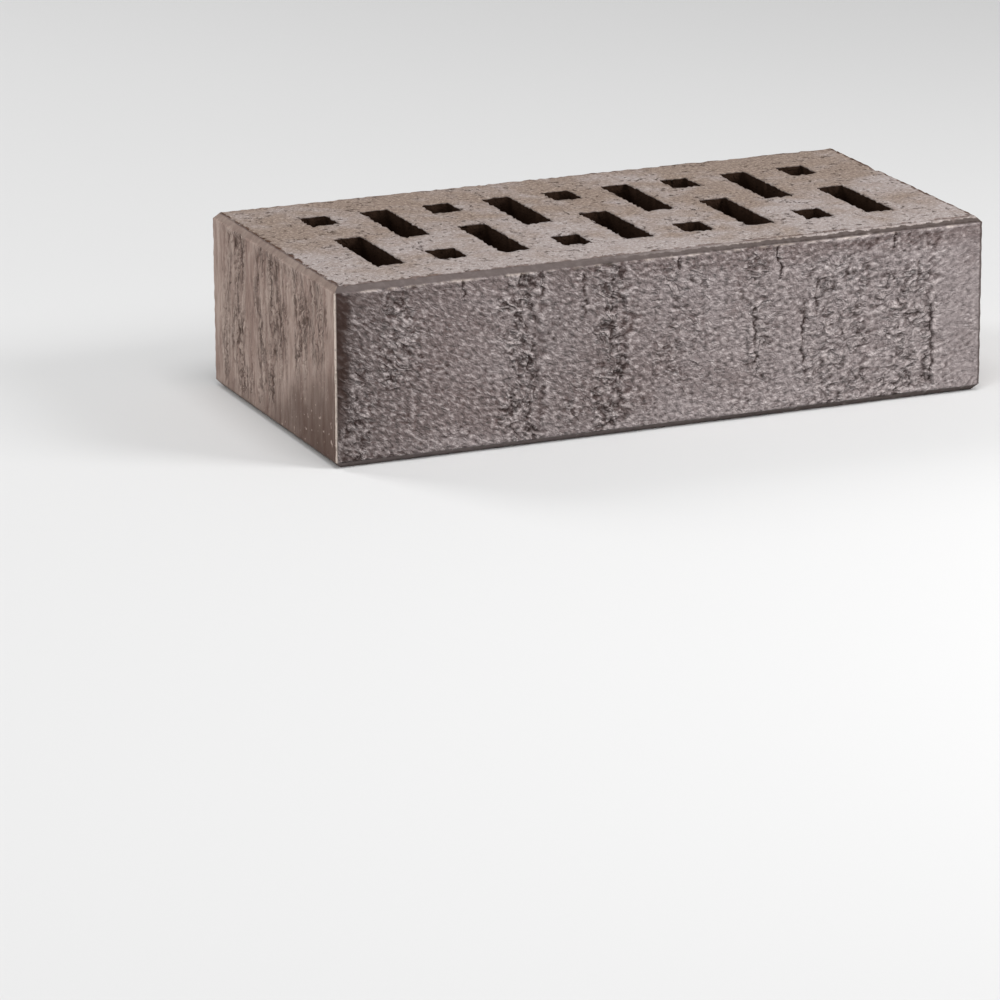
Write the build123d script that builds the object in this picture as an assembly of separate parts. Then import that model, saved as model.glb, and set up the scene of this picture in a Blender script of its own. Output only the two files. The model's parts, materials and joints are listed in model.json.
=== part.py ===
from build123d import *

import os

# Perforated facing brick: one fired clay solid.
# The holes follow the extruded clay column, so they run straight through from bed face to bed face.
# Origin: middle of the lower bed face. +X runs along the brick, +Y from the front face to the back, +Z up.

# Fired size, in millimetres.
length = 250.0
width = 120.0
height = 65.0

# Edges: a bevel round both bed faces, and upright corners that are barely eased.
bevel = 2.5
corner_radius = 1.0

# Perforation: columns of holes along the brick, each with one long slot, a web and one short hole.
columns = 9
hole_width = 11.0
slot_length = 42.0
short_length = 14.0
hole_corner_radius = 1.0
end_wall = 24.5
web = 20.0

# Bark on the long faces: upright furrows that slope in to the right and end in a steep wall.
# They run between two lips beside the bevels. Their left and right borders are shares of the length, from the
# left end of the face as seen from outside.
furrow_depth = 0.8
furrow_wall = 1.0
lip = 1.0
front_furrow_shares = ((0.25, 0.31), (0.39, 0.435), (0.71, 0.82), (0.84, 0.92))
back_furrow_shares = ((0.15, 0.20), (0.50, 0.55), (0.80, 0.85))


def bevelled_section(span):
    """Upright section of the brick, with the bevels cut off its four corners."""
    outline = Rectangle(span, height, align=(Align.CENTER, Align.MIN))
    return chamfer(outline.vertices(), bevel)


def block():
    """The brick without its holes: what its plan and its two upright sections have in common."""
    plan = extrude(RectangleRounded(length, width, corner_radius), height)
    lengthwise = extrude(Plane.XZ * bevelled_section(length), width / 2, both=True)
    crosswise = extrude(Plane.YZ * bevelled_section(width), length / 2, both=True)
    return plan & lengthwise & crosswise


def column_places():
    """Distance of each column of holes from the middle of the brick."""
    first = end_wall + hole_width / 2 - length / 2
    pitch = -2 * first / (columns - 1)
    return [first + number * pitch for number in range(columns)]


def holes():
    """Outlines of all holes. Slots and short holes change sides from one column to the next."""
    side_wall = (width - slot_length - web - short_length) / 2
    outlines = Sketch()
    for number, x in enumerate(column_places()):
        slot_side = -1 if number % 2 == 0 else 1
        for side, hole_length in ((slot_side, slot_length), (-slot_side, short_length)):
            y = side * (width / 2 - side_wall - hole_length / 2)
            outlines += Pos(x, y) * RectangleRounded(hole_width, hole_length, hole_corner_radius)
    return outlines


def furrows(border_shares):
    """Furrows with the given borders, placed on the front face."""
    outlines = Sketch()
    for left_share, right_share in border_shares:
        left = left_share * length - length / 2
        right = right_share * length - length / 2
        outlines += Polygon((left, 0), (right + furrow_wall, 0), (right, furrow_depth), align=None)
    foot = bevel + lip
    return extrude(Pos(0, -width / 2, foot) * outlines, height - 2 * foot)


def bark():
    """The furrows of both long faces."""
    return furrows(front_furrow_shares) + Rot(0, 0, 180) * furrows(back_furrow_shares)


def brick():
    return block() - extrude(holes(), height) - bark()


os.makedirs("parts", exist_ok=True)
export_step(brick(), "parts/brick.step")
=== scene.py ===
import functools
import json
import math

import bpy
import numpy as np
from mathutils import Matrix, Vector


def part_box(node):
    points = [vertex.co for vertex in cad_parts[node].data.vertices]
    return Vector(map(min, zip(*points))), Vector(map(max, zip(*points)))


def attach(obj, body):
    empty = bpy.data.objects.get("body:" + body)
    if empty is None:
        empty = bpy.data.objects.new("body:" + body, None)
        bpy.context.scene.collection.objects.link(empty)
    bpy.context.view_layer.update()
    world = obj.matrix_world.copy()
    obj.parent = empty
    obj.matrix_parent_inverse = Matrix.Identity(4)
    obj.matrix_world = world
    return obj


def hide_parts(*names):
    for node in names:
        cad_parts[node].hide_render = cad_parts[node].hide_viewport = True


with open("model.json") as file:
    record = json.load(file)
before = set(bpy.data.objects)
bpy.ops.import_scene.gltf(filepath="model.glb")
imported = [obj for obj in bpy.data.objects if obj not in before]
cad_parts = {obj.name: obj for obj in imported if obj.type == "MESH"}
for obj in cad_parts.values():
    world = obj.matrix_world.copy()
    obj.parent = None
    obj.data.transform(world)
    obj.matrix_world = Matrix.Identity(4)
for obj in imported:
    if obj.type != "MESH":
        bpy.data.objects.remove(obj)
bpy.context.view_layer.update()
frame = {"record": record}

# A perforated facing brick with a bark relief. Shapes are worked out in millimetres, in the frame's own axes:
# +X along the brick, +Y from the front face to the back, +Z up. The finished mesh is scaled to metres.
MM = 0.001

# Sizes of the brick: its box from the frame, and its edges as the solid has them.
low, high = (np.array(corner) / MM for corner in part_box("brick"))
length, width, height = high - low
bevel = 2.5
corner_radius = 1.0
hole_corner_radius = 1.0
wall_top = height - bevel

# How finely the surface is divided before it is thinned out.
lengthwise_step = 0.5
crosswise_step = 0.8
upright_step = 0.45
bevel_steps = 5
corner_steps = 4

# Regions of the surface, and the triangles kept in groups of them. Firm points are never thinned out.
FRONT, RIGHT, BACK, LEFT, TOP, BOTTOM, HOLES, FIRM = range(8)
triangles_kept = (
    ((RIGHT, BACK, BOTTOM, HOLES), 30_000),
    ((TOP,), 13_000),
    ((FRONT,), 83_000),
    ((LEFT,), 28_000),
)


# Random relief, read from repeating tiles of waves

tile_cells = 512
cells_per_wave = 8
wave_spread = 0.45
highest_wave = 2
wrinkle_lean = 0.3
wrinkle_warp = 0.35


@functools.lru_cache(maxsize=None)
def wave_tile(seed):
    """A repeating square of smooth random waves, with unit deviation."""
    random = np.random.default_rng(seed)
    frequency = np.fft.fftfreq(tile_cells) * cells_per_wave
    radius = np.hypot(frequency[:, None], frequency[None, :])
    radius[0, 0] = 1.0
    band = np.exp(-0.5 * (np.log(radius) / wave_spread) ** 2)
    band[0, 0] = 0.0
    spectrum = np.fft.fft2(random.standard_normal(radius.shape)) * band
    pattern = np.fft.ifft2(spectrum).real
    return pattern / pattern.std()


def waves(seed, u, v, length_u, length_v):
    """Random waves at the points u, v, about length_u and length_v long, with unit deviation."""
    tile = wave_tile(seed)
    a = u / length_u * cells_per_wave
    b = v / length_v * cells_per_wave
    i = np.floor(a).astype(int)
    j = np.floor(b).astype(int)
    a = a - i
    b = b - j
    i0, i1 = i % tile_cells, (i + 1) % tile_cells
    j0, j1 = j % tile_cells, (j + 1) % tile_cells
    near = tile[i0, j0] * (1 - a) + tile[i1, j0] * a
    far = tile[i0, j1] * (1 - a) + tile[i1, j1] * a
    return near * (1 - b) + far * b


def line_waves(seed, u, wavelength):
    """Random waves along one direction, with unit deviation."""
    return waves(seed, u, 0 * u, wavelength, wavelength)


def step(start, end, value):
    """0 before start, 1 after end, smooth between. Start may lie after end."""
    t = np.clip((value - start) / (end - start), 0, 1)
    return t * t * (3 - 2 * t)


def hump(centre, half_width, value):
    """1 at centre, falling to about a third half_width away."""
    return np.exp(-((value - centre) / half_width) ** 2)


def wrinkles(seed, a, b, bump_length, bump_height):
    """Bumps that lean towards low b: about -1 in the sharp creases between them, 1 on the crests."""
    warped_a = a + wrinkle_warp * bump_length * waves(seed + 1, a, b, 3 * bump_length, 3 * bump_height)
    warped_b = b + wrinkle_warp * bump_height * waves(seed + 2, a, b, 2 * bump_length, 3 * bump_height)
    upright = np.abs(waves(seed, warped_a, warped_b, 2 * bump_length, 2 * bump_height))
    leaning = warped_b + wrinkle_lean * bump_height * np.minimum(upright, highest_wave)
    leant = np.abs(waves(seed, warped_a, leaning, 2 * bump_length, 2 * bump_height))
    return np.minimum(leant, highest_wave) - 1


# Bark on the long faces. Places along the face are measured from its left end, heights from the lower bed.

# The wrinkles fall to the right at the left end of a face and rise a little at its right end.
wrinkle_fall = 0.45
wrinkle_turn = 0.0013

# Bands of torn bark: left and right border, lowest and highest reach, strength, half the width over which the
# right side fades out, and how far the creases stand upright.
front_bands = (
    (17.0, 31.0, 26.0, 66.0, 0.9, 4.0, 0.5),
    (-4.0, 12.0, -5.0, 36.0, 1.0, 4.0, 0.5),
    (64.0, 75.0, -5.0, 70.0, 1.1, 0.5, 0.7),
    (87.0, 92.0, -5.0, 28.0, 0.5, 2.0, 0.6),
    (98.0, 108.7, -5.0, 70.0, 1.1, 0.5, 0.7),
    (118.0, 141.0, 18.0, 60.0, 0.5, 5.0, 0.2),
    (155.0, 166.0, 12.0, 70.0, 0.6, 3.0, 0.5),
    (178.0, 205.0, -5.0, 56.0, 0.65, 4.0, 0.0),
    (210.0, 230.0, -5.0, 50.0, 0.75, 0.5, 0.4),
)
# Upright cracks: place, lowest and highest reach, depth.
front_cracks = (
    (47.7, 55.0, 63.0, 0.7),
    (69.3, 57.0, 63.0, 0.6),
    (77.7, 52.0, 63.0, 0.6),
    (93.5, 44.0, 61.0, 0.5),
    (104.5, 34.0, 58.0, 0.6),
    (130.3, 56.0, 63.0, 0.7),
    (160.0, 20.0, 42.0, 0.6),
    (169.3, 50.0, 63.0, 0.8),
    (178.5, 18.0, 38.0, 0.6),
    (184.0, 34.0, 50.0, 0.5),
    (214.7, 56.0, 63.0, 0.7),
    (224.5, 42.0, 52.0, 0.5),
    (230.0, 5.0, 34.0, 0.6),
)
back_bands = (
    (37.5, 50.0, -5.0, 70.0, 0.9, 0.5, 0.7),
    (84.0, 100.0, 10.0, 62.0, 0.5, 4.0, 0.2),
    (125.0, 137.5, -5.0, 70.0, 1.0, 0.5, 0.7),
    (170.0, 182.0, -5.0, 48.0, 0.6, 3.0, 0.4),
    (200.0, 212.5, -5.0, 70.0, 0.9, 0.5, 0.7),
)
back_cracks = (
    (66.0, 50.0, 63.0, 0.4),
    (112.0, 54.0, 63.0, 0.4),
    (154.0, 22.0, 44.0, 0.4),
    (226.0, 50.0, 63.0, 0.5),
)
# Furrows that the strong bands sink into: left and deepest border, about where the solid has them, and how
# far the right border frays.
front_furrows = ((62.5, 76.0, 4.0), (97.5, 108.5, 4.0), (177.5, 204.0, 12.0), (210.0, 230.0, 3.0))
back_furrows = ((37.5, 50.0, 4.0), (125.0, 137.5, 4.0), (200.0, 212.5, 4.0))
furrow_depth = 0.8
furrow_wall = 1.0

# Heights of the bark's relief.
skin_swell = 0.14
skin_wrinkle = 0.1
skin_pimple = 0.07
lying_crease = 0.38
upright_crease = 0.5
torn_swell = 0.16
highest_bark = 0.4
lip_height = 0.2

# A band that fades out within sharp_band ends in a groove. crack_mark is how torn 1 mm of crack looks.
sharp_band = 1.0
groove_depth = 0.5
groove_half_width = 0.45
crack_half_width = 0.5
crack_mark = 3.2

# How far upright borders stray, in long sways and short tremors, and how wide a band's soft border is.
sway_length = 20.0
tremor_length = 4.5
furrow_sway = 1.4
furrow_tremor = 0.7
band_sway = 1.2
band_tremor = 0.5
crack_sway = 0.5
crack_tremor = 0.25
band_border = 4.0


def lie(u, z):
    """Height above the wrinkle line that leaves the foot of a long face's left end."""
    return z + u * (wrinkle_fall - wrinkle_turn * u)


def furrow_sink(furrows, seed, u, z):
    """Depth of the furrows. Their steep right borders wander about those of the solid and fray in places."""
    depth = np.zeros_like(u)
    for number, (left, right, fray) in enumerate(furrows):
        beside = u - furrow_sway * line_waves(seed + number, z, sway_length)
        beside = beside - furrow_tremor * line_waves(seed + 40 + number, z, tremor_length)
        slope = np.clip((beside - left) / (right - left), 0, 1)
        frayed = fray * np.clip(0.5 + 0.6 * line_waves(seed + 80 + number, z, 14), 0, 1)
        depth = np.maximum(depth, furrow_depth * slope * step(right + furrow_wall + frayed, right, beside))
    ends = step(bevel + 0.5, bevel + 3, z) * step(wall_top - 0.5, wall_top - 3, z)
    return depth * ends


def torn_bands(bands, seed, u, z):
    """How torn the bark is, up to about 1.4, how upright its creases are, and the sharp bands' grooves."""
    torn = np.zeros_like(u)
    groove = np.zeros_like(u)
    upright = np.zeros_like(u)
    for number, (left, right, lowest, highest, amount, softness, stand) in enumerate(bands):
        wander = band_sway * line_waves(seed + number, z, sway_length)
        wander = wander + band_tremor * line_waves(seed + 40 + number, z, tremor_length)
        reach = step(lowest - band_border, lowest + band_border, z)
        reach = reach * step(highest + band_border, highest - band_border, z)
        patchy = np.clip(0.85 + 0.45 * waves(seed + 20 + number, u, z, 9, 12), 0.15, 1.3)
        beside = u - wander
        across = step(left - band_border, left + band_border, beside)
        across = across * step(right + softness, right - softness, beside)
        torn = np.maximum(torn, amount * patchy * reach * across)
        standing = step(left - band_border, left + 0.6 * (right - left), beside)
        upright = np.maximum(upright, stand * reach * standing * across)
        if softness < sharp_band:
            broken = np.clip(0.2 + 0.7 * line_waves(seed + 60 + number, z, 9), 0, 1)
            deep = groove_depth * amount * reach * broken * hump(right, groove_half_width, beside)
            groove = np.maximum(groove, deep)
    return torn, upright, groove


def crack_depth(cracks, seed, u, z):
    """Depth of the upright cracks: narrow grooves that wander a little."""
    depth = np.zeros_like(u)
    for number, (place, lowest, highest, deep) in enumerate(cracks):
        wander = crack_sway * line_waves(seed + number, z, 9)
        wander = wander + crack_tremor * line_waves(seed + 40 + number, z, 3)
        reach = step(lowest - 1, lowest + 2, z) * step(highest + 1, highest - 2, z)
        depth = np.maximum(depth, deep * reach * hump(place + wander, crack_half_width, u))
    return depth


def stretcher_relief(u, z, seed, bands, cracks, furrows):
    """Relief of a long face and how torn it is: pimpled skin, torn bands, cracks and a lip at the bevel."""
    slant = lie(u, z)
    torn, upright, groove = torn_bands(bands, seed + 100, u, z)
    patch = np.clip(0.8 + 0.4 * waves(seed + 11, u, z, 26, 18), 0.3, 1.5) * (1 + 0.5 * step(16, 4, z))
    ragged_height = z + 1.2 * waves(seed + 12, u, z, 12, 30)
    under_lip = 0.3 + 0.7 * step(wall_top - 1.5, wall_top - 6.5, ragged_height)
    skin = skin_wrinkle * wrinkles(seed, u, slant, 2.8, 1.6)
    skin = skin + skin_pimple * waves(seed + 13, u, slant, 3.4, 2.2)
    relief = skin_swell * waves(seed + 16, u, z, 45, 38)
    relief = relief + skin * patch * under_lip
    relief = relief + torn * (1 - upright) * lying_crease * wrinkles(seed + 14, u, slant, 2.8, 1.5)
    relief = relief + torn * upright * upright_crease * wrinkles(seed + 17, z, u + 0.3 * z, 4.4, 1.7)
    relief = relief + torn * torn_swell * waves(seed + 18, u, slant, 8, 6)
    crack = crack_depth(cracks, seed + 200, u, z)
    relief = relief - np.maximum(groove, crack) - furrow_sink(furrows, seed + 100, u, z)
    lip = hump(wall_top - 0.4, 0.4, z) * np.clip(0.6 + 0.5 * line_waves(seed + 19, u, 7), 0, 1.4)
    return np.minimum(relief, highest_bark) + lip_height * lip, np.maximum(torn, crack_mark * crack)


# Streaks on the end faces. The place along the face is measured from its left end, as seen from outside.

# Rough patches: place, half width, strength.
left_patches = (
    (13.0, 5.0, 0.7),
    (26.0, 9.0, 1.1),
    (47.0, 5.0, 0.8),
    (60.0, 13.0, 1.1),
    (88.0, 8.0, 1.1),
    (104.0, 9.0, 0.9),
)
right_patches = (
    (18.0, 9.0, 0.9),
    (40.0, 6.0, 0.7),
    (58.0, 9.0, 1.0),
    (90.0, 11.0, 0.9),
)
patch_sway = 2.0

# Heights of the ends' relief.
end_swell = 0.14
end_sink = 0.15
end_streak = 0.14
rough_crease = 0.42
fissure_depth = 0.8
highest_end = 0.3
end_crumb = 0.25

# The pressed area: how high it is at the left, how much higher at the right, and half its border's width.
pressed_foot = 3.0
pressed_rise = 30.0
pressed_border = 7.0


def pressed_area(u, z, seed):
    """1 low on an end face towards its right, where the clay was pressed smooth. On the left end it is also
    darkened, partly as burnt clay and partly as painted shade.
    """
    edge = pressed_foot + pressed_rise * step(30, 125, u) + 2.0 * waves(seed, u, z, 22, 22)
    return step(edge + pressed_border, edge - pressed_border, z)


def header_relief(u, z, seed, patches, pressed):
    """Relief of an end face and how torn it is: streaks and fissures, fewer where it is pressed smooth."""
    rough = np.zeros_like(u)
    for number, (place, half_width, amount) in enumerate(patches):
        wander = patch_sway * line_waves(seed + number, z, 40)
        rough = np.maximum(rough, amount * hump(place + wander, half_width, u))
    rough = rough * np.clip(0.85 + 0.3 * waves(seed + 20, u, z, 9, 45), 0, 1.3) * (1 - pressed)
    bent = u + 0.8 * waves(seed + 24, u, z, 9, 14)
    relief = end_swell * waves(seed + 40, u, z, 30, 45) - end_sink
    relief = relief + end_streak * wrinkles(seed + 30, z, bent, 14.0, 3.0) * (1 - 0.8 * pressed)
    relief = relief + rough_crease * rough * wrinkles(seed + 35, z, bent, 5.0, 1.5)
    broken = np.clip(0.5 + waves(seed + 34, u, z, 9, 40), 0, 1)
    fissure = hump(0, 0.18, waves(seed + 33, bent, z, 6.0, 70.0)) * broken
    relief = relief - fissure_depth * np.minimum(rough + 0.15, 0.9) * fissure * (1 - pressed)
    crumbs = np.clip(waves(seed + 44, u, z, 3.0, 3.6) - 1.1, 0, 1)
    relief = np.minimum(relief, highest_end) + end_crumb * crumbs * np.maximum(0.5 * pressed, rough)
    from_bevel = np.minimum(z, height - z) - bevel
    return relief * step(0, 3, from_bevel + 0.6 * waves(seed + 45, u, z, 5, 20)), rough


# Faces and lattice

bed_high = high[:2] - bevel
openings = {item["name"]: np.array(item["box_m"]) / MM for item in frame["record"]["physics"]["openings"]}
# The openings in the record are smaller than the holes by this clearance on each side.
opening_clearance = 0.3
hole_columns = 9
# The chip in the right end's upper edge: place across the end, half width, depth and reach into the bed.
chip_place = 22.0
chip_half_width = 2.4
chip_depth = 1.3
chip_reach = 3.5
# The beds: how far the crumbled mouths and edges reach, how far they stray, and the relief.
mouth_reach = 3.0
edge_reach = 2.5
mouth_stray = 0.16
edge_stray = 0.1
pit_depth = 0.5
ragged_depth = 0.25
bed_grain = 0.06
bed_sink = 0.05


def hole_boxes():
    """Plan of every hole: its lowest and highest corner. A column's short hole lies across from its slot."""
    short_box = openings["short_hole_1"]
    short_length = short_box[1][1] - short_box[0][1] + 2 * opening_clearance
    boxes = []
    for number in range(1, hole_columns + 1):
        slot = openings[f"slot_{number}"][:, :2] + np.array([[-1], [1]]) * opening_clearance
        boxes.append(slot)
        outer = -slot[np.argmax(np.abs(slot[:, 1])), 1]
        inner = outer - math.copysign(short_length, outer)
        boxes.append(np.array([[slot[0, 0], min(outer, inner)], [slot[1, 0], max(outer, inner)]]))
    return boxes


holes = hole_boxes()


def lattice_lines(stops, spacing):
    """Lattice lines through all the stops, about spacing apart."""
    runs = [
        np.linspace(start, end, max(1, round((end - start) / spacing)), endpoint=False)
        for start, end in zip(stops, stops[1:])
    ]
    return np.append(np.concatenate(runs), stops[-1])


def stops_between(axis):
    """Places along an axis that lattice lines have to pass: the holes' edges and the bed's own."""
    edges = {round(float(edge), 6) for box in holes for edge in box[:, axis]}
    return sorted(edges | {-bed_high[axis], bed_high[axis]})


x_lines = lattice_lines(stops_between(0), lengthwise_step)
y_lines = lattice_lines(stops_between(1), crosswise_step)
x_count, y_count = len(x_lines), len(y_lines)


class Surface:
    """Points and triangles of the brick, gathered block by block, with the masks of the points."""

    # The burn mask also holds painted shade, and the wear mask a painted highlight.
    masks = ("region", "relief", "torn", "bed", "hole", "bevel", "end", "burnt", "worn")

    def __init__(self):
        self.points = []
        self.values = []
        self.triangles = []
        self.count = 0

    def add_points(self, points, **values):
        """Adds points of any array shape and returns their numbers in that shape."""
        shape = points.shape[:-1]
        self.points.append(points.reshape(-1, 3))
        given = [np.broadcast_to(values.get(name, 0.0), shape).reshape(-1) for name in self.masks]
        self.values.append(np.stack(given, 1))
        numbers = np.arange(self.count, self.count + len(self.points[-1])).reshape(shape)
        self.count += numbers.size
        return numbers

    def add_grid(self, grid, flipped=False, kept=...):
        """Adds the quads of a grid of point numbers, or the kept ones, as triangles that have some width."""
        a, b, c, d = grid[:-1, :-1], grid[1:, :-1], grid[1:, 1:], grid[:-1, 1:]
        if flipped:
            b, d = d, b
        corners = [numbers[kept].reshape(-1) for numbers in (a, b, c, d)]
        for picks in ((0, 1, 2), (0, 2, 3)):
            triangles = np.stack([corners[pick] for pick in picks], 1)
            first, second, third = triangles.T
            whole = (first != second) & (second != third) & (third != first)
            self.triangles.append(triangles[whole])

    def add_ring(self, grid, flipped=False):
        """Adds the quads of a grid of point numbers whose last column joins its first."""
        self.add_grid(np.concatenate([grid, grid[:1]], 0), flipped)


def hole_distance(x, y):
    """Distance from the nearest hole's edge, outside the holes, and 0 inside them."""
    nearest = np.full(x.shape, np.inf)
    for box in holes:
        outside_x = np.maximum(np.maximum(box[0, 0] - x, x - box[1, 0]), 0)
        outside_y = np.maximum(np.maximum(box[0, 1] - y, y - box[1, 1]), 0)
        nearest = np.minimum(nearest, np.hypot(outside_x, outside_y))
    return nearest


def rounded_corner_shift(x, y):
    """How far points on the holes' edges move to round the holes' corners."""
    shift_x = np.zeros_like(x)
    shift_y = np.zeros_like(y)
    full = hole_corner_radius * (1 - math.sqrt(0.5))
    for box in holes:
        for corner_x, inward_x in ((box[0, 0], 1), (box[1, 0], -1)):
            for corner_y, inward_y in ((box[0, 1], 1), (box[1, 1], -1)):
                at_corner = (np.abs(x - corner_x) < 1e-3) & (np.abs(y - corner_y) < 1e-3)
                shift_x[at_corner] = inward_x * full
                shift_y[at_corner] = inward_y * full
    return shift_x, shift_y


def chip_sink(x, y):
    """Depth of the chip in the upper edge of the right end."""
    across = hump(chip_place, chip_half_width, y)
    return chip_depth * across * step(bed_high[0] - chip_reach, bed_high[0], x)


def bed_points(top):
    """Points of a bed face and their masks: wire-cut, pitted, and crumbled at the holes and the edges."""
    seed = 1000 if top else 1100
    x, y = np.meshgrid(x_lines, y_lines, indexing="ij")
    from_hole = hole_distance(x, y)
    from_edge = np.minimum(bed_high[0] - np.abs(x), bed_high[1] - np.abs(y))
    mouth = step(mouth_reach, 0.0, from_hole)
    edge = step(edge_reach, 0.0, from_edge)
    loose = mouth_stray * mouth + edge_stray * edge
    shift_x, shift_y = rounded_corner_shift(x, y)
    shift_x = shift_x + loose * waves(seed + 1, x, y, 4.5, 4.5)
    shift_y = shift_y + loose * waves(seed + 2, x, y, 4.5, 4.5)
    pits = np.clip(waves(seed + 3, x, y, 3.2, 3.2) - 1.7, 0, 1) * pit_depth
    crumbled = mouth * np.clip(0.12 + 0.18 * waves(seed + 4, x, y, 4, 4), 0, 1)
    ragged = edge * np.clip(0.2 + 0.5 * waves(seed + 5, x, y, 6, 6), 0, 1)
    grain = bed_grain * waves(seed + 6, x, y, 2.6, 2.6)
    sink = np.clip(pits + crumbled + ragged_depth * ragged - grain + bed_sink, 0, None)
    z = high[2] - sink - chip_sink(x, y) if top else low[2] + sink
    points = np.stack([x + shift_x, y + shift_y, z], -1)
    # How deep a point lies in a pit or a dip of the grain, where the bed is painted darker: painted shade.
    dark = np.clip(-2.2 * pits + 4 * grain, -1, 1)
    return points, dict(region=TOP if top else BOTTOM, relief=dark, bed=1.0)


# Outer walls

# Height of the waves on the upright corners and on the bevels.
arris_height = 0.06
bevel_grain = 0.02
# A point counts as a hollow or a crest by how far it lies from the average of the points around it.
hollow_reach = 4
full_hollow = 0.22


def outline_columns():
    """Columns of points round the outer walls, anticlockwise from above, starting at the front left corner.

    Each column is the numbers of its bed lines, its wall point, its outward direction, its face, and its
    place along the face.
    """
    straight = high[:2] - corner_radius
    stretch = straight / bed_high
    last = (x_count - 1, y_count - 1)
    corners = [(0, 0), (last[0], 0), last, (0, last[1])]
    spans = [length, width, length, width]
    found = []
    for face in range(4):
        start, end = corners[face], corners[(face + 1) % 4]
        axis = 0 if face % 2 == 0 else 1
        forward = 1 if face < 2 else -1
        sign_x = -1 if start[0] == 0 else 1
        sign_y = -1 if start[1] == 0 else 1
        normal_angle = math.radians(90 * face - 90)
        for number in range(corner_steps):
            turn = -math.pi / 4 + math.pi / 4 * (2 * number + 1) / corner_steps
            angle = normal_angle - math.pi / 4 + turn
            direction = np.array([math.cos(angle), math.sin(angle)])
            centre = np.array([sign_x * straight[0], sign_y * straight[1]])
            before = number < corner_steps / 2
            owner = (face - 1) % 4 if before else face
            place = spans[owner] if before else 0.0
            found.append((start, centre + corner_radius * direction, direction, owner, place))
        direction = np.array([math.cos(normal_angle), math.sin(normal_angle)])
        lines = x_lines if axis == 0 else y_lines
        for line in range(start[axis] + forward, end[axis], forward):
            bed_line = (line, start[1]) if axis == 0 else (start[0], line)
            wall = np.array([sign_x, sign_y], float) * high[:2]
            wall[axis] = lines[line] * stretch[axis]
            place = forward * wall[axis] + spans[face] / 2
            found.append((bed_line, wall, direction, face, place))
    return found


def upright_rows():
    """Rows between the beds: share of the way from the wall in to the bed, height, and surface tilt."""
    bevel_shares = np.linspace(1, 0, bevel_steps + 1)[1:-1]
    wall = np.linspace(bevel, wall_top, round((height - 2 * bevel) / upright_step) + 1)
    share = np.concatenate([bevel_shares, 0 * wall, bevel_shares[::-1]])
    rise = np.concatenate([bevel * (1 - bevel_shares), wall, height - bevel * (1 - bevel_shares[::-1])])
    quarter = math.pi / 4
    tilt = np.concatenate([-quarter + 0 * bevel_shares, 0 * wall, quarter + 0 * bevel_shares])
    return share, rise, tilt


def wall_relief(face, u, z):
    """Relief of an outer wall, and how far it is torn, is an end face, and is darkened by burns and by
    painted shade.
    """
    if face == FRONT:
        relief, torn = stretcher_relief(u, z, 10, front_bands, front_cracks, front_furrows)
        strip = step(8.0, 3.0, u + 1.2 * waves(71, u, z, 8, 12)) * (0.45 + 0.55 * step(8, 34, z))
        # Painted shade in a band under the lip at the left end.
        strip = np.maximum(strip, 0.6 * hump(0, 34, u) * hump(wall_top - 3, 3.0, z))
        dark_edge = 0.8 * step(length - 1.4, length - 0.3, u)
        return relief * (1 - 0.6 * strip), torn, 0 * u, np.maximum(strip, dark_edge)
    if face == BACK:
        return (*stretcher_relief(u, z, 310, back_bands, back_cracks, back_furrows), 0 * u, 0 * u)
    if face == LEFT:
        pressed = pressed_area(u, z, 72)
        # The pressed area is darkened, most towards its lower right corner: partly burnt clay, partly painted
        # shade.
        burnt = pressed * (0.55 + 0.4 * step(45, 115, u) * step(34, 4, z))
        return (*header_relief(u, z, 610, left_patches, pressed), 1 + 0 * u, burnt)
    return (*header_relief(u, z, 810, right_patches, 0 * u), 1 + 0 * u, 0 * u)


def blurred(relief, reach):
    """Average of a relief over a square of 2 reach + 1 points."""
    for axis in (0, 1):
        margins = [(reach + 1, reach) if side == axis else (0, 0) for side in (0, 1)]
        padded = np.pad(relief, margins, mode="edge")
        total = np.cumsum(padded, axis)
        span = 2 * reach + 1
        high_end = np.take(total, range(span, total.shape[axis]), axis)
        low_end = np.take(total, range(total.shape[axis] - span), axis)
        relief = (high_end - low_end) / span
    return relief


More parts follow.
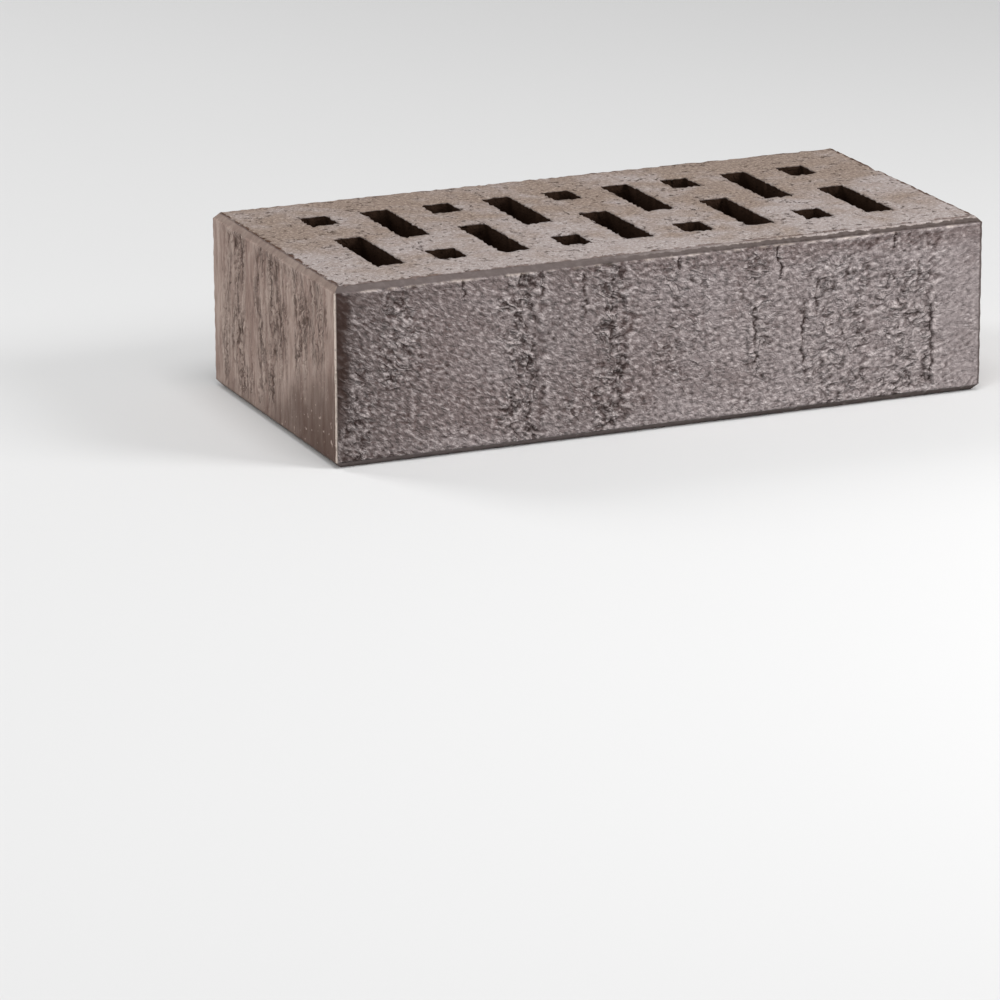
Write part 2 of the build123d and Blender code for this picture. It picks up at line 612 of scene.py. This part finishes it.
def add_walls(surface, top, bottom):
    """Adds the four outer walls with their bevels, joined to the two beds."""
    columns = outline_columns()
    share, rise, tilt = upright_rows()
    i, j = np.array([column[0] for column in columns]).T
    wall = np.array([column[1] for column in columns])
    direction = np.array([column[2] for column in columns])
    face = np.array([column[3] for column in columns])
    place = np.array([column[4] for column in columns])
    bed = np.stack([x_lines[i], y_lines[j]], 1)
    shape = (len(columns), len(rise))
    u = np.broadcast_to(place[:, None], shape)
    z = np.broadcast_to(rise[None, :], shape)
    relief, torn, end, burnt = (np.zeros(shape) for _ in range(4))
    spans = np.array([length, width, length, width])[face]
    for number in range(4):
        own = face == number
        relief[own], torn[own], end[own], burnt[own] = wall_relief(number, u[own], z[own])
    from_corner = np.minimum(place, spans - place)[:, None]
    on_bevel = np.broadcast_to(np.abs(tilt)[None, :] > 0, shape)
    corner = (face + np.round(place / spans)) % 4
    arris = arris_height * waves(75, z, 100 * corner[:, None] + 0 * z, 6, 40)
    fade = step(0.0, 4.0, from_corner) * np.ones(shape)
    relief = relief * fade + arris * (1 - fade)
    plain = bevel_grain * waves(76, u + 300 * face[:, None], z, 6, 3)
    relief = np.where(on_bevel, plain, relief)
    points = np.zeros(shape + (3,))
    points[..., :2] = wall[:, None, :] + (bed - wall)[:, None, :] * share[None, :, None]
    points[..., :2] += direction[:, None, :] * (relief * np.cos(tilt))[..., None]
    points[..., 2] = z + relief * np.sin(tilt)[None, :]
    points[..., 2] -= chip_sink(*wall.T)[:, None] * step(wall_top, height, z)
    hollow = np.clip((relief - blurred(relief, hollow_reach)) / full_hollow, -1, 1)
    at_corner = ((i == 0) | (i == x_count - 1)) & ((j == 0) | (j == y_count - 1))
    lip_row = np.isin(np.arange(len(rise)), np.flatnonzero(tilt == 0)[-2:])
    beside_corner = np.roll(at_corner, 1) | np.roll(at_corner, -1) | at_corner
    firm = beside_corner[:, None] | (np.isin(face, (FRONT, LEFT))[:, None] & lip_row[None, :])
    # The first columns are those of the front left corner, which is worn and carries a painted highlight.
    edge_wear_and_highlight = np.zeros(len(columns))
    edge_wear_and_highlight[1:corner_steps - 1] = 1.0
    # The lip under the long faces' bevels takes the same pale colour: wear and a painted highlight.
    lip = np.clip(0.16 + 0.22 * line_waves(77, u, 9), 0, 0.42) * step(4, 16, from_corner)
    lip = lip * hump(wall_top - 0.1, 0.35, z) * np.isin(face, (FRONT, BACK))[:, None]
    numbers = surface.add_points(
        points, region=np.where(firm, FIRM, face[:, None]), relief=np.where(on_bevel, 0, hollow),
        torn=np.where(on_bevel, 0, torn), bevel=on_bevel * 1.0, end=end, burnt=burnt,
        worn=np.where(on_bevel, 0, np.maximum(edge_wear_and_highlight[:, None], lip)),
    )
    grid = np.concatenate([bottom[i, j][:, None], numbers, top[i, j][:, None]], 1)
    surface.add_ring(grid)


# Holes

# Heights of the points below the middle, how far in the crumbled mouths reach, and the drag marks' height.
hole_heights = (0.7, 1.6, 3.0, 5.5, 10.0, 17.0, 25.0)
mouth_depth = 6.0
drag_height = 0.14


def add_hole(surface, box, top, bottom, top_points, bottom_points, seed):
    """Adds the walls of one hole between the two beds."""
    i0, i1 = (int(np.argmin(np.abs(x_lines - edge))) for edge in box[:, 0])
    j0, j1 = (int(np.argmin(np.abs(y_lines - edge))) for edge in box[:, 1])
    i = np.concatenate([np.arange(i0, i1), np.full(j1 - j0, i1), np.arange(i1, i0, -1), np.full(j1 - j0, i0)])
    j = np.concatenate([np.full(i1 - i0, j0), np.arange(j0, j1), np.full(i1 - i0, j1), np.arange(j1, j0, -1)])
    rise = np.array(hole_heights)
    rise = np.concatenate([rise, [height / 2], height - rise[::-1]])
    above = rise > height / 2
    depth = np.minimum(rise, height - rise)
    mouth = step(mouth_depth, 0, depth)[None, :, None]
    x, y = x_lines[i], y_lines[j]
    shift_x, shift_y = rounded_corner_shift(x, y)
    plain = np.stack([x + shift_x, y + shift_y], 1)[:, None, :]
    crumbled = np.where(above[None, :, None], top_points[i, j][:, None, :2], bottom_points[i, j][:, None, :2])
    plan = plain + (crumbled - plain) * mouth
    around = np.arange(len(i)) * lengthwise_step
    middle = box.mean(0)
    outward = np.stack([x, y], 1) - middle
    outward = outward / np.abs(outward).max(1, keepdims=True)
    drag = drag_height * waves(seed, around[:, None] + 0 * rise, 0 * around[:, None] + rise, 4, 30)
    plan = plan + outward[:, None, :] * drag[..., None]
    points = np.concatenate([plan, np.broadcast_to(rise[None, :, None], drag.shape + (1,))], 2)
    region = np.full(drag.shape, HOLES)
    region[:, [0, -1]] = FIRM
    numbers = surface.add_points(points, region=region, hole=1.0)
    grid = np.concatenate([bottom[i, j][:, None], numbers, top[i, j][:, None]], 1)
    surface.add_ring(grid, flipped=True)


def brick_surface():
    """Points and triangles of the whole brick, before it is thinned out."""
    surface = Surface()
    top_points, top_values = bed_points(True)
    bottom_points, bottom_values = bed_points(False)
    top = surface.add_points(top_points, **top_values)
    bottom = surface.add_points(bottom_points, **bottom_values)
    middle_x = (x_lines[1:] + x_lines[:-1]) / 2
    middle_y = (y_lines[1:] + y_lines[:-1]) / 2
    solid = hole_distance(*np.meshgrid(middle_x, middle_y, indexing="ij")) > 0
    surface.add_grid(top, kept=solid)
    surface.add_grid(bottom, flipped=True, kept=solid)
    add_walls(surface, top, bottom)
    for number, box in enumerate(holes):
        add_hole(surface, box, top, bottom, top_points, bottom_points, 1200 + number)
    return surface


def thin_out(piece, regions, kept):
    """Thins the triangles of some regions out to the number kept, and leaves the other regions alone."""
    mesh = piece.data
    region = np.empty(len(mesh.vertices), np.float32)
    mesh.attributes["region"].data.foreach_get("value", region)
    inside = np.isin(np.rint(region), regions)
    corners = np.empty(len(mesh.loops), np.int32)
    mesh.loops.foreach_get("vertex_index", corners)
    own = np.count_nonzero(inside[corners.reshape(-1, 3)].all(1))
    group = piece.vertex_groups.new(name="thinned")
    group.add(np.flatnonzero(inside).tolist(), 1.0, "REPLACE")
    thin = piece.modifiers.new("thin", "DECIMATE")
    thin.vertex_group = group.name
    thin.ratio = 1 - (own - kept) / len(mesh.polygons)
    evaluated = piece.evaluated_get(bpy.context.evaluated_depsgraph_get())
    piece_mesh = bpy.data.meshes.new_from_object(evaluated)
    piece.modifiers.clear()
    piece.vertex_groups.clear()
    piece.data = piece_mesh
    bpy.data.meshes.remove(mesh)


def brick_object():
    """Makes the brick's mesh: gathers the points in use, thins the triangles out and shades it smooth."""
    surface = brick_surface()
    points = np.concatenate(surface.points)
    values = np.concatenate(surface.values)
    triangles = np.concatenate(surface.triangles)
    used, triangles = np.unique(triangles, return_inverse=True)
    mesh = bpy.data.meshes.new("fired_brick")
    mesh.from_pydata(points[used].tolist(), [], triangles.reshape(-1, 3).tolist())
    for number, name in enumerate(Surface.masks):
        layer = mesh.attributes.new(name, "FLOAT", "POINT")
        layer.data.foreach_set("value", values[used, number].astype(np.float32))
    piece = bpy.data.objects.new("fired_brick", mesh)
    bpy.context.scene.collection.objects.link(piece)
    for regions, kept in triangles_kept:
        thin_out(piece, regions, kept)
    mesh = piece.data
    mesh.name = "fired_brick"
    places = np.empty(len(mesh.vertices) * 3, np.float32)
    mesh.vertices.foreach_get("co", places)
    places[2::3] = np.clip(places[2::3], low[2], high[2])
    mesh.vertices.foreach_set("co", places * MM)
    mesh.polygons.foreach_set("use_smooth", np.ones(len(mesh.polygons), bool))
    mesh.update()
    return piece


# Shader nodes

class Nodes:
    """Short ways to add and link shader nodes. A value is a number, or a socket of another node."""

    def __init__(self, tree):
        self.tree = tree

    def put(self, socket, value):
        if isinstance(value, bpy.types.NodeSocket):
            self.tree.links.new(value, socket)
        elif value is not None:
            socket.default_value = value

    def node(self, kind, inputs=(), **settings):
        node = self.tree.nodes.new(kind)
        for name, value in settings.items():
            setattr(node, name, value)
        for name, value in dict(inputs).items():
            self.put(node.inputs[name], value)
        return node

    def mask(self, name):
        return self.node("ShaderNodeAttribute", attribute_name=name).outputs["Fac"]

    def math(self, operation, first, second=None, clamp=False):
        node = self.node("ShaderNodeMath", operation=operation, use_clamp=clamp)
        self.put(node.inputs[0], first)
        self.put(node.inputs[1], second)
        return node.outputs[0]

    def add(self, first, second):
        return self.math("ADD", first, second)

    def subtract(self, first, second):
        return self.math("SUBTRACT", first, second)

    def times(self, first, second):
        return self.math("MULTIPLY", first, second)

    def size(self, value):
        return self.math("ABSOLUTE", value)

    def most(self, first, *others):
        """The highest of the values."""
        for other in others:
            first = self.math("MAXIMUM", first, other)
        return first

    def range(self, value, start, end, low_value=0.0, high_value=1.0):
        """Goes smoothly from low_value at start to high_value at end. Start may lie after end."""
        node = self.node("ShaderNodeMapRange", interpolation_type="SMOOTHSTEP")
        names = ("Value", "From Min", "From Max", "To Min", "To Max")
        for name, given in zip(names, (value, start, end, low_value, high_value)):
            self.put(node.inputs[name], given)
        return node.outputs["Result"]

    def noise(self, place, wavelength, detail=3.0, roughness=0.55, distortion=0.0, stretch=None):
        if stretch is not None:
            stretched = self.node("ShaderNodeVectorMath", {0: place, 1: stretch}, operation="MULTIPLY")
            place = stretched.outputs[0]
        inputs = {
            "Vector": place, "Scale": 1 / wavelength, "Detail": detail, "Roughness": roughness,
            "Distortion": distortion,
        }
        return self.node("ShaderNodeTexNoise", inputs).outputs["Fac"]

    def ridges(self, place, wavelength, stretch):
        """0 along winding lines, rising to 1 between them."""
        noise = self.noise(place, wavelength, 1.0, distortion=0.4, stretch=stretch)
        return self.math("MULTIPLY", self.size(self.subtract(noise, 0.5)), 5.0, clamp=True)

    def creases(self, place, wavelength, stretch):
        """Bumps that lean towards low z, from 0 in sharp creases to 1 on the crests."""
        shift = self.times(self.ridges(place, wavelength, stretch), wrinkle_lean * wavelength)
        shift = self.node("ShaderNodeCombineXYZ", {"Z": shift}).outputs[0]
        leaning = self.node("ShaderNodeVectorMath", {0: place, 1: shift}, operation="ADD").outputs[0]
        return self.math("POWER", self.ridges(leaning, wavelength, stretch), 0.7)

    def mix(self, share, first, second):
        """Colour that goes from first to second with the share."""
        node = self.node("ShaderNodeMix", data_type="RGBA")
        self.put(node.inputs["Factor"], share)
        for name, colour in (("A", first), ("B", second)):
            linked = isinstance(colour, bpy.types.NodeSocket)
            self.put(node.inputs[name], colour if linked else (*colour, 1.0))
        return node.outputs["Result"]


# Fired clay

# The crest colour is a painted highlight; the crease, hollow and hole colours are painted shade; the burn
# colours are partly painted shade, the cream edge partly a painted highlight.
skin_dark = (0.102, 0.074, 0.070)
skin_brown = (0.150, 0.110, 0.105)
skin_grey = (0.256, 0.214, 0.211)
crest_highlight = (0.52, 0.45, 0.44)
crease_shade = (0.026, 0.016, 0.014)
end_brown = (0.29, 0.205, 0.174)
end_pale = (0.46, 0.360, 0.312)
end_crease_shade = (0.070, 0.044, 0.035)
burnt_brown = (0.034, 0.019, 0.015)
end_burnt = (0.058, 0.030, 0.021)
bevel_grey = (0.126, 0.103, 0.098)
bevel_dark = (0.083, 0.066, 0.060)
end_bevel = (0.165, 0.125, 0.105)
rust_brown = (0.085, 0.042, 0.028)
worn_cream = (0.80, 0.68, 0.60)
bed_base = (0.34, 0.288, 0.270)
bed_pale = (0.52, 0.465, 0.452)
bed_brown = (0.235, 0.178, 0.146)
bed_tan = (0.42, 0.340, 0.288)
pore_dark = (0.05, 0.030, 0.022)
mouth_shade_brown = (0.038, 0.022, 0.015)
hole_shade_brown = (0.022, 0.012, 0.008)
bump_reach = 0.8 * MM


class ClayNodes(Nodes):
    """Nodes with the places, in millimetres, the masks and the patterns that all parts of the clay share."""

    def __init__(self, tree):
        super().__init__(tree)
        place = self.node("ShaderNodeTexCoord").outputs["Object"]
        scaled = self.node("ShaderNodeVectorMath", {0: place, "Scale": 1 / MM}, operation="SCALE")
        self.place = scaled.outputs[0]
        self.x, self.y, self.z = self.node("ShaderNodeSeparateXYZ", {0: self.place}).outputs
        self.u = self.add(self.x, length / 2)
        masks = (self.mask(name) for name in Surface.masks[1:])
        self.relief, self.torn, self.bed, self.hole, self.bevel, self.end, self.burnt, self.worn = masks
        self.cloud = self.noise(self.place, 38.0, 3.0)
        self.blotch = self.noise(self.place, 9.0, 4.0)
        self.fine = self.noise(self.place, 0.55, 2.0)
        self.ragged = self.range(self.noise(self.place, 3.5, 3.0), 0.3, 0.7, -0.9, 0.9)
        pores = self.range(self.noise(self.place, 2.0, 3.0), 0.59, 0.65)
        self.pore = self.times(pores, self.range(self.blotch, 0.40, 0.58, 0.2, 1.0))
        self.add_wrinkles()

    def by_tear(self, smooth_value, torn_value):
        """Goes from one value on smooth skin to another on torn skin."""
        return self.range(self.torn, 0.0, 0.8, smooth_value, torn_value)

    def add_wrinkles(self):
        """Wrinkles of the skin: they follow the relief along the long faces and stand upright on the ends."""
        slope = self.subtract(wrinkle_fall, self.times(self.u, wrinkle_turn))
        slant = self.add(self.z, self.times(self.u, slope))
        along = self.node("ShaderNodeCombineXYZ", {"X": self.u, "Y": self.y, "Z": slant}).outputs[0]
        upright = {"X": self.times(self.z, 0.35), "Y": self.x, "Z": self.y}
        upright = self.node("ShaderNodeCombineXYZ", upright).outputs[0]
        lines = self.node("ShaderNodeMix", {"Factor": self.end, "A": along, "B": upright}, data_type="VECTOR")
        lines = lines.outputs["Result"]
        self.leather = self.creases(lines, 3.6, (0.62, 0.5, 1.0))
        self.small_leather = self.creases(lines, 2.0, (0.8, 0.6, 1.0))
        self.pimples = self.noise(lines, 1.6, 2.0, 0.5, stretch=(0.75, 0.75, 1.0))
        calm = self.times(self.end, self.by_tear(0.7, 0.05))
        calm = self.most(calm, self.range(self.u, 228.0, 236.0, 0.0, 0.3))
        self.lively = self.subtract(1.0, calm)
        self.coarse = self.times(self.leather, self.by_tear(0.2, 1.2))
        grain = self.times(self.small_leather, self.by_tear(0.3, 0.45))
        grain = self.add(grain, self.times(self.pimples, self.by_tear(1.1, 0.6)))
        self.crests = self.times(self.add(self.coarse, grain), self.lively)


def skin_colour(clay):
    """Flashed skin of the long faces, darkest at the left end; greyer to the right and at the foot as a
    painted sheen.
    """
    patchy = clay.add(clay.cloud, clay.times(clay.blotch, 0.5))
    # Greyer towards the foot: a painted sheen.
    patchy = clay.add(patchy, clay.range(clay.z, 14.0, 2.0, 0.0, 0.35))
    # Greyer towards the right end: a painted sheen.
    patchy = clay.add(patchy, clay.times(clay.u, 0.002))
    skin = clay.mix(clay.range(patchy, 0.72, 1.32), skin_brown, skin_grey)
    left_end = clay.range(clay.add(clay.u, clay.times(clay.blotch, 24.0)), 14.0, 60.0)
    skin = clay.mix(left_end, skin_dark, skin)
    ragged_height = clay.add(clay.z, clay.times(clay.blotch, 8.0))
    strip = clay.range(ragged_height, wall_top - 5.0, wall_top + 1.0, 0.0, 0.9)
    skin = clay.mix(strip, skin, skin_brown)
    skin = clay.mix(clay.range(clay.torn, 0.2, 1.1, 0.0, 0.3), skin, skin_dark)
    dull = clay.times(clay.range(clay.u, 45.0, 80.0), clay.range(clay.u, 135.0, 95.0, 0.0, 0.35))
    return clay.mix(dull, skin, skin_dark)


def end_colour(clay):
    """Browner ends, with pale upright streaks."""
    streak = clay.noise(clay.place, 3.0, 4.0, stretch=(1.0, 1.0, 0.12))
    streak = clay.add(streak, clay.times(clay.cloud, 0.5))
    return clay.mix(clay.range(streak, 0.55, 0.95), end_brown, end_pale)


def wall_colour(clay):
    """Colour of the outer walls: crests lit by a painted highlight, creases and hollows darkened by painted
    shade, burns partly painted shade, and light dots.
    """
    wall = clay.mix(clay.end, skin_colour(clay), end_colour(clay))
    # Crests and raised relief are painted paler: a painted highlight.
    highlight = clay.mix(clay.end, crest_highlight, end_pale)
    wall = clay.mix(clay.times(clay.range(clay.pimples, 0.48, 0.72, 0.0, 0.55), clay.lively), wall, highlight)
    wall = clay.mix(clay.times(clay.range(clay.coarse, 0.5, 1.1, 0.0, 0.6), clay.lively), wall, highlight)
    wall = clay.mix(clay.range(clay.relief, 0.1, 1.0, 0.0, 0.45), wall, highlight)

    # Creases, fissures, cracks and hollows are painted darker: painted shade.
    shade = clay.mix(clay.end, crease_shade, end_crease_shade)
    wall = clay.mix(clay.times(clay.range(clay.pimples, 0.50, 0.28, 0.0, 0.70), clay.lively), wall, shade)
    gap = clay.by_tear(0.2, 0.38)
    crease_share = clay.times(clay.range(clay.torn, 0.0, 1.1, 0.25, 0.6), clay.lively)
    wall = clay.mix(clay.times(clay.range(clay.leather, gap, 0.0), crease_share), wall, shade)
    thin_share = clay.by_tear(0.3, 0.55)
    thin = clay.range(clay.small_leather, 0.25, 0.0, 0.0, thin_share)
    wall = clay.mix(clay.times(thin, clay.lively), wall, shade)
    crack_share = clay.range(clay.torn, 1.45, 1.9, 0.0, 0.47)
    hollow_share = clay.add(clay.range(clay.torn, 0.5, 1.1, 0.2, 0.38), crack_share)
    wall = clay.mix(clay.times(clay.range(clay.relief, -0.3, -1.0), hollow_share), wall, shade)

    # Burns darken the walls, with painted shade on the left end's pressed area and under the front's lip.
    wall = clay.mix(clay.times(clay.burnt, 0.85), wall, clay.mix(clay.end, burnt_brown, end_burnt))
    dots = clay.range(clay.noise(clay.place, 1.9, 1.0), 0.68, 0.74)
    return clay.mix(clay.times(dots, clay.times(clay.burnt, clay.end)), wall, end_pale)


def edge_colour(clay, wall, bed):
    """The wall's colour with bevels, and worn edges with a painted highlight. Towards +X the long faces'
    bevels look narrower.
    """
    front_bevel = clay.mix(clay.range(clay.u, 40.0, 200.0), bevel_grey, bevel_dark)
    bevel_share = clay.times(clay.bevel, clay.range(clay.end, 0.0, 1.0, 0.9, 0.6))
    wall = clay.mix(bevel_share, wall, clay.mix(clay.end, front_bevel, end_bevel))
    # Worn edges and the lip are painted cream: wear with a painted highlight.
    chipped = clay.range(clay.noise(clay.place, 1.6, 3.0), 0.3, 0.5, 0.55, 1.0)
    wall = clay.mix(clay.times(clay.worn, chipped), wall, worn_cream)

    narrow = clay.times(clay.times(clay.bevel, clay.range(clay.u, 80.0, 190.0)), clay.subtract(1.0, clay.end))
    rim = clay.add(clay.z, clay.times(clay.ragged, 0.4))
    wall = clay.mix(clay.times(narrow, clay.range(rim, height - 1.1, height - 0.7, 0.0, 0.85)), wall, bed)
    # A dark line where the bevel meets the lip: painted shade.
    foot = clay.range(rim, wall_top + 0.9, wall_top + 0.3, 0.0, 0.6)
    foot = clay.times(foot, clay.range(clay.z, height - 3.0, height - 2.9))
    return clay.mix(clay.times(narrow, foot), wall, crease_shade)


def bed_colour(clay):
    """Open clay of the beds: brown to grey, crumbly and full of pores, with painted shade in its pits."""
    tint = clay.add(clay.cloud, clay.times(clay.blotch, 0.6))
    tint = clay.range(clay.add(tint, clay.times(clay.y, -0.0025)), 0.6, 1.0)
    crumb = clay.range(clay.noise(clay.place, 1.3, 3.0, 0.7), 0.44, 0.66, 0.1, 0.9)
    bed = clay.mix(crumb, clay.mix(tint, bed_brown, bed_base), clay.mix(tint, bed_tan, bed_pale))
    bed = clay.mix(clay.times(clay.pore, 0.75), bed, pore_dark)
    # Pits and dips of the grain are painted darker: painted shade.
    return clay.mix(clay.range(clay.relief, -0.2, -0.8, 0.0, 0.8), bed, pore_dark)


def rusty_edges(clay, bed):
    """The bed's colour with a thin, ragged, rusty line along its edges."""
    from_end = clay.subtract(bed_high[0], clay.size(clay.x))
    from_side = clay.subtract(bed_high[1], clay.size(clay.y))
    at_end = clay.range(clay.add(from_end, clay.ragged), 1.0, 0.2, 0.0, 0.9)
    at_side = clay.range(clay.add(from_side, clay.ragged), 0.5, -0.3, 0.0, 0.7)
    return clay.mix(clay.most(at_end, at_side), bed, rust_brown)


def hole_shade_colour(clay):
    """Dark clay in the holes, darkened further by painted shade: darkest deep inside, a little lighter at
    their mouths.
    """
    depth = clay.subtract(height / 2, clay.size(clay.subtract(clay.z, height / 2)))
    return clay.mix(clay.range(depth, 0.0, mouth_depth), mouth_shade_brown, hole_shade_brown)


def mattness(clay):
    """1 on open clay, less on ends, bevels, burns with their painted shade, and in hollows, 0 on the crests
    of the skin.
    """
    hollows = clay.most(clay.range(clay.crests, 0.5, 0.0), clay.range(clay.relief, -0.1, -0.6))
    walls = clay.most(clay.end, clay.bevel, clay.burnt, hollows)
    return clay.most(clay.bed, clay.hole, clay.times(walls, 0.75))


def fine_bumps(clay):
    """Surface direction bent by fine bumps: wrinkles on the skin, crumbs and pores on open clay."""
    smooth = clay.most(clay.bevel, clay.worn, clay.range(clay.burnt, 0.3, 1.0, 0.0, 0.7))
    skin = clay.add(clay.crests, clay.times(clay.fine, 0.12))
    skin = clay.times(skin, clay.range(smooth, 0.0, 1.0, 1.0, 0.12))
    crumbs = clay.times(clay.add(clay.noise(clay.place, 0.9, 4.0, 0.7), clay.fine), 0.6)
    crumbs = clay.subtract(crumbs, clay.times(clay.pore, 0.7))
    open_clay = clay.most(clay.bed, clay.hole)
    bumps = clay.node("ShaderNodeMix", {"Factor": open_clay, "A": skin, "B": crumbs}).outputs["Result"]
    bump = clay.node("ShaderNodeBump", {"Height": bumps, "Strength": 1.0, "Distance": bump_reach})
    return bump.outputs["Normal"]


def fired_clay():
    """Dark fired clay: a sealed, faintly glossy skin on the walls, open matt clay on the wire-cut beds."""
    material = bpy.data.materials.new("fired_clay")
    material.use_nodes = True
    material.node_tree.nodes.clear()
    clay = ClayNodes(material.node_tree)
    bed = bed_colour(clay)
    wall = edge_colour(clay, wall_colour(clay), bed)
    colour = clay.mix(clay.bed, wall, rusty_edges(clay, bed))
    colour = clay.mix(clay.hole, colour, hole_shade_colour(clay))
    matt = mattness(clay)
    skin_roughness = clay.add(clay.blotch, clay.times(clay.relief, -0.2))
    skin_roughness = clay.range(skin_roughness, 0.3, 0.8, 0.34, 0.50)
    shader = clay.node("ShaderNodeBsdfPrincipled", {
        "Base Color": colour,
        "Roughness": clay.math("ADD", skin_roughness, clay.times(matt, 0.45), clamp=True),
        "Normal": fine_bumps(clay),
        "Specular IOR Level": clay.range(matt, 0.0, 1.0, 0.5, 0.0),
    })
    clay.node("ShaderNodeOutputMaterial", {"Surface": shader.outputs["BSDF"]})
    return material


# Stage, light and camera

floor_reach = 6.0
floor_colour = (0.68, 0.68, 0.68)
floor_roughness = 0.8

# Lamps: name, place, point that it is aimed at, width and height, and power.
lamps = (
    ("overhead", (-0.2, -0.8, 2.3), (0, 0, 0), (1.5, 1.1), 34.0),
    ("front_right", (0.60, -0.62, 0.60), (0.10, 0, 0.03), (0.35, 0.35), 6.3),
    ("left", (-0.9, 1.1, 0.9), (-0.1, 0, 0.03), (0.6, 0.6), 10.0),
    ("front_left", (-1.3, -1.0, 0.8), (-0.1, 0, 0.03), (0.8, 0.8), 4.5),
)
# Strength of the white world as light, and as it is seen.
world_light = 0.2
world_seen = 1.0


def seen_directly(nodes):
    """1 for rays from the camera and for mirrored ones, 0 for light that a matt surface gathers."""
    path = nodes.node("ShaderNodeLightPath").outputs
    return nodes.most(path["Is Camera Ray"], path["Is Glossy Ray"], path["Is Transmission Ray"])


def pale_floor():
    """A wide pale floor with barely any variation."""
    mesh = bpy.data.meshes.new("pale_floor")
    corners = [(x * floor_reach, y * floor_reach, 0) for x, y in ((-1, -1), (1, -1), (1, 1), (-1, 1))]
    mesh.from_pydata(corners, [], [(0, 1, 2, 3)])
    floor = bpy.data.objects.new("pale_floor", mesh)
    bpy.context.scene.collection.objects.link(floor)
    material = bpy.data.materials.new("pale_floor")
    material.use_nodes = True
    nodes = Nodes(material.node_tree)
    place = nodes.node("ShaderNodeTexCoord").outputs["Object"]
    tone = nodes.range(nodes.noise(place, 0.8, 2.0), 0.3, 0.7, 0.98, 1.0)
    shader = material.node_tree.nodes["Principled BSDF"].inputs
    nodes.put(shader["Base Color"], nodes.mix(tone, (0.0, 0.0, 0.0), floor_colour))
    nodes.put(shader["Roughness"], floor_roughness)
    mesh.materials.append(material)
    return floor


def soft_light(name, place, aim, size, power):
    lamp = bpy.data.lights.new(name, "AREA")
    lamp.shape = "RECTANGLE"
    lamp.size, lamp.size_y = size
    lamp.energy = power
    holder = bpy.data.objects.new(name, lamp)
    holder.location = place
    holder.rotation_euler = (Vector(aim) - Vector(place)).to_track_quat("-Z", "Y").to_euler()
    bpy.context.scene.collection.objects.link(holder)


def studio_light():
    for lamp in lamps:
        soft_light(*lamp)
    world = bpy.data.worlds.new("studio")
    world.use_nodes = True
    world.node_tree.nodes.clear()
    nodes = Nodes(world.node_tree)
    strength = nodes.range(seen_directly(nodes), 0.0, 1.0, world_light, world_seen)
    sky = nodes.node("ShaderNodeBackground", {"Color": (1.0, 1.0, 1.0, 1.0), "Strength": strength})
    nodes.node("ShaderNodeOutputWorld", {"Surface": sky.outputs[0]})
    bpy.context.scene.world = world


camera_place = Vector((-0.79193, -1.77109, 0.54172))
camera_aim = Vector((-0.03822, 0.0, -0.03791))
camera_roll = 0.294
camera_lens = 199.83
camera_sensor = 36.0


def photo_camera():
    """Camera at the photograph's place, worked out from the edges and holes that it shows."""
    camera = bpy.data.cameras.new("photo")
    camera.sensor_width = camera_sensor
    camera.lens = camera_lens
    holder = bpy.data.objects.new("photo", camera)
    holder.location = camera_place
    turn = (camera_aim - camera_place).to_track_quat("-Z", "Y").to_matrix()
    holder.rotation_euler = turn.to_euler()
    holder.rotation_euler.rotate_axis("Z", math.radians(-camera_roll))
    bpy.context.scene.collection.objects.link(holder)
    bpy.context.scene.camera = holder


brick = brick_object()
brick.data.materials.append(fired_clay())
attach(brick, "root")
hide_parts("brick")
pale_floor()
studio_light()
photo_camera()
bpy.context.scene.view_settings.view_transform = "Standard"
